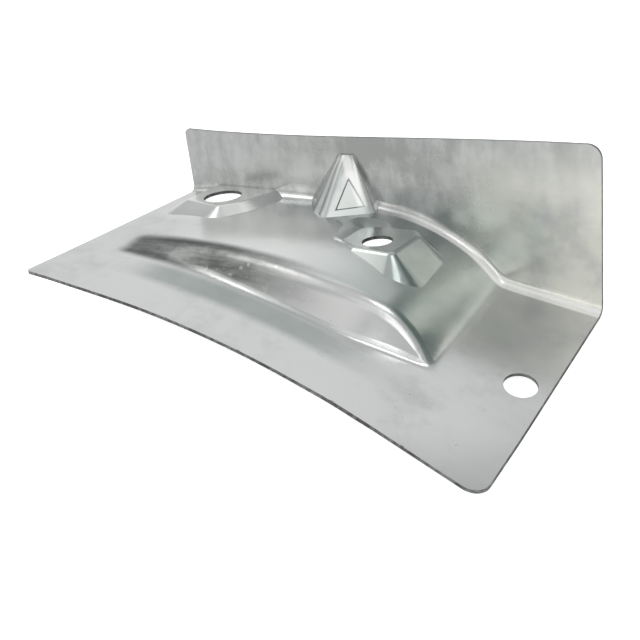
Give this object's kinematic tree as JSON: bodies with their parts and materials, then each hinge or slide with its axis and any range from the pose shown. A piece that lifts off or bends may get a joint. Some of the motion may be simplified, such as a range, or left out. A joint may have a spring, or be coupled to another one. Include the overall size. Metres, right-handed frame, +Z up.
{
  "type": "stamped metal bracket",
  "caption": "Stamped sheet-metal corner bracket with an upright wall, a stepped base with a raised platform, a triangular gusset in the bend and fixing holes.",
  "frame": {"origin": "centre of the bounding box on the surface the bracket rests on", "axes": "+X along the bend, from the high end of the sloping base to its low end, +Y from the front edge towards the upright wall, +Z up"},
  "size_m": [0.1514, 0.0876, 0.0461],
  "materials": {
    "bracket": "zinc-plated pressed steel, satin, with fine rolling streaks, smudges and bare trimmed edges"
  },
  "bodies": {
    "root": {"bracket": "bracket"}
  },
  "joints": []
}
